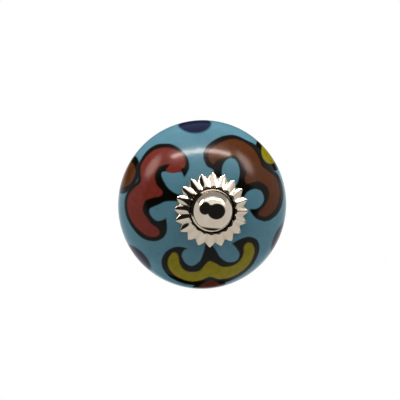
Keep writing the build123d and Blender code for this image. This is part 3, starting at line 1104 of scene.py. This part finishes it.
def wall_cover(azimuth, elevation):
    """How much the dark strip of wall behind the knob covers a direction, from 0 to 1."""
    strip = soft_edge(elevation - WALL_FOOT, CANOPY_EDGE) * soft_edge(WALL_TOP - elevation, CANOPY_EDGE)
    return strip * soft_edge(apart(azimuth, elevation) - WALL_FRONT, CANOPY_EDGE)


class KNOB_OT_stage(bpy.types.Operator):
    """Lay the floor, hang the lights and set the camera"""

    bl_idname = "knob.stage"
    bl_label = "Stage"

    def execute(self, context):
        scene = context.scene
        settings = scene.knob_stage
        middle = Vector((0.0, -scene.knob_bulb.widest_height, 0.0))
        self.lay_floor(settings)
        self.light_world(scene, settings)
        self.hang("canopy", middle, CANOPY_REACH, canopy_cover, settings.canopy_level)
        self.hang("ceiling", middle, CEILING_REACH, ceiling_cover, settings.ceiling_level)
        self.hang_overhead(middle, settings)
        self.hang("dark_room", middle, DARK_REACH, opening_cover, settings.dark_level)
        mirrored = [
            self.hang(
                "side_boxes", middle, BOX_REACH, box_cover, settings.side_level, settings.lamp_colour
            ),
            self.hang("drape", middle, DARK_REACH, drape_cover, settings.dark_level),
            self.hang("wall_strip", middle, DARK_REACH, wall_cover, settings.dark_level),
            self.hang_tube(middle, settings),
        ]
        for piece in mirrored:
            piece.visible_diffuse = False
            piece.visible_shadow = False
        self.set_camera(scene, settings, middle)
        scene.view_settings.view_transform = "Standard"
        return {"FINISHED"}

    def background_rays(self, tree):
        """A socket that is 1 for rays from the camera, a mirror or a glass, and 0 for the rest."""
        rays = add(tree, "ShaderNodeLightPath", output="Is Camera Ray")
        path = rays.node.outputs
        mirror = add(tree, "ShaderNodeMath", {
            0: path["Is Glossy Ray"], 1: path["Is Transmission Ray"],
        }, operation="MAXIMUM")
        return add(tree, "ShaderNodeMath", {0: rays, 1: mirror}, operation="MAXIMUM")

    def lay_floor(self, settings):
        """A pale floor well below the knob, white to the camera but for the knob's shadow."""
        bpy.ops.object.select_all(action="DESELECT")
        bpy.ops.mesh.primitive_plane_add(size=FLOOR_SIZE, location=(0, 0, -settings.floor_drop))
        floor = bpy.context.object
        floor.name = "floor"
        material, tree = new_material("pale_floor")
        share = add(tree, "ShaderNodeMath", {
            0: self.background_rays(tree), 1: FLOOR_GLOW,
        }, operation="MULTIPLY")
        lit = add(tree, "ShaderNodeBsdfDiffuse", {"Color": (FLOOR_TONE, FLOOR_TONE, FLOOR_TONE, 1)})
        glow = add(tree, "ShaderNodeEmission", {"Strength": 1.0})
        mixed = add(tree, "ShaderNodeMixShader", {0: share, 1: lit, 2: glow})
        add(tree, "ShaderNodeOutputMaterial", {"Surface": mixed})
        floor.data.materials.append(material)

    def light_world(self, scene, settings):
        """A white room, which lights the knob at a plain level."""
        scene.world = bpy.data.worlds.new("white_room")
        scene.world.use_nodes = True
        tree = scene.world.node_tree
        tree.nodes.clear()
        strength = add(tree, "ShaderNodeMapRange", {
            "Value": self.background_rays(tree), "To Min": settings.room_level, "To Max": 1.0,
        })
        light = add(tree, "ShaderNodeBackground", {"Color": (1, 1, 1, 1), "Strength": strength})
        add(tree, "ShaderNodeOutputWorld", {"Surface": light})

    def hang(self, name, middle, radius, cover, strength, tone=WHITE):
        """Hang a part of a sphere round the knob, with soft edges, that gives off light."""
        cloth = begin(
            name, bpy.ops.mesh.primitive_uv_sphere_add, segments=SPHERE_SEGMENTS,
            ring_count=SPHERE_SEGMENTS // 2, radius=radius, location=middle,
        )
        select_faces(cloth, lambda place: cover(*bearing(place)) == 0)
        bpy.ops.mesh.delete(type="FACE")
        bpy.ops.object.mode_set(mode="OBJECT")
        covers = [cover(*bearing(vertex.co)) for vertex in cloth.data.vertices]
        return self.light_up(cloth, strength, covers, tone)

    def hang_overhead(self, middle, settings):
        """Hang a soft light straight above the knob, which mirrors don't show."""
        bpy.ops.object.light_add(type="AREA", location=middle + Vector((0, 0, settings.tube_reach)))
        lamp = bpy.context.object
        lamp.name = "overhead_light"
        lamp.data.size = settings.overhead_size
        lamp.data.energy = settings.overhead_power
        lamp.visible_glossy = False

    def hang_tube(self, middle, settings):
        """Hang a straight tube lamp across the front, which the glaze mirrors as a thin strip."""
        place = Vector((
            settings.tube_shift, -settings.tube_reach * math.cos(settings.tube_pitch),
            settings.tube_reach * math.sin(settings.tube_pitch),
        ))
        tube = begin(
            "tube_lamp", bpy.ops.mesh.primitive_cylinder_add, vertices=TUBE_SIDES,
            radius=settings.tube_radius, depth=settings.tube_length, location=middle + place,
            rotation=(0, math.pi / 2, 0),
        )
        bpy.ops.object.mode_set(mode="OBJECT")
        covers = [1.0] * len(tube.data.vertices)
        return self.light_up(tube, settings.tube_level, covers, settings.lamp_colour)

    def light_up(self, piece, strength, covers, tone):
        """Let a piece of the stage give off light, clear where its cover is 0, unseen by the camera."""
        store(piece, "cover", covers)
        material, tree = new_material(piece.name)
        light = add(tree, "ShaderNodeEmission", {"Color": opaque(tone), "Strength": strength})
        clear = add(tree, "ShaderNodeBsdfTransparent")
        cover = add(tree, "ShaderNodeAttribute", output="Fac", attribute_name="cover")
        mixed = add(tree, "ShaderNodeMixShader", {0: cover, 1: clear, 2: light})
        add(tree, "ShaderNodeOutputMaterial", {"Surface": mixed})
        piece.data.materials.append(material)
        piece.visible_camera = False
        return piece

    def set_camera(self, scene, settings, middle):
        """A camera at the photograph's viewing angle."""
        a = settings.azimuth
        e = settings.elevation
        back = Vector((math.sin(a) * math.cos(e), -math.cos(a) * math.cos(e), math.sin(e)))
        right = Vector((math.cos(a), math.sin(a), 0.0))
        up = back.cross(right)
        target = middle + right * settings.aim_right + up * settings.aim_up
        bpy.ops.object.camera_add(location=target + back * settings.distance)
        camera = bpy.context.object
        camera.rotation_mode = "QUATERNION"
        camera.rotation_quaternion = (-back).to_track_quat("-Z", "Y")
        camera.data.lens = camera.data.sensor_width * settings.distance / settings.field
        camera.data.clip_start = CLIP_START
        scene.camera = camera


# Panel and registering


class KNOB_PT_sidebar(bpy.types.Panel):
    """Sizes, colours and pieces of the knob"""

    bl_idname = "KNOB_PT_sidebar"
    bl_label = "Painted knob"
    bl_space_type = "VIEW_3D"
    bl_region_type = "UI"
    bl_category = "Knob"

    def draw(self, context):
        for operator in OPERATORS:
            self.layout.operator(operator.bl_idname)
        for name in GROUPS:
            group = getattr(context.scene, name)
            box = self.layout.box()
            for field in group.__annotations__:
                box.prop(group, field)


GROUPS = {
    "knob_bulb": BulbSizes,
    "knob_flower": FlowerSizes,
    "knob_bolt": BoltSizes,
    "knob_fasteners": FastenerSizes,
    "knob_paint": PaintSizes,
    "knob_colours": KnobColours,
    "knob_stage": StageSettings,
}
OPERATORS = (
    KNOB_OT_glazed_body,
    KNOB_OT_flower_washer,
    KNOB_OT_dome_bolt,
    KNOB_OT_flat_washer,
    KNOB_OT_hex_nut,
    KNOB_OT_stage,
)
CLASSES = (*GROUPS.values(), *OPERATORS, KNOB_PT_sidebar)


def register():
    """Add the classes and the scene's settings."""
    for item in CLASSES:
        bpy.utils.register_class(item)
    for name, group in GROUPS.items():
        setattr(bpy.types.Scene, name, bpy.props.PointerProperty(type=group))


def unregister():
    """Take the scene's settings and the classes away."""
    for name in GROUPS:
        delattr(bpy.types.Scene, name)
    for item in reversed(CLASSES):
        bpy.utils.unregister_class(item)


def main():
    """Build every piece and the stage."""
    register()
    bpy.ops.knob.glazed_body()
    bpy.ops.knob.flower_washer()
    bpy.ops.knob.dome_bolt()
    bpy.ops.knob.flat_washer()
    bpy.ops.knob.hex_nut()
    bpy.ops.knob.stage()


if __name__ == "__main__":
    main()
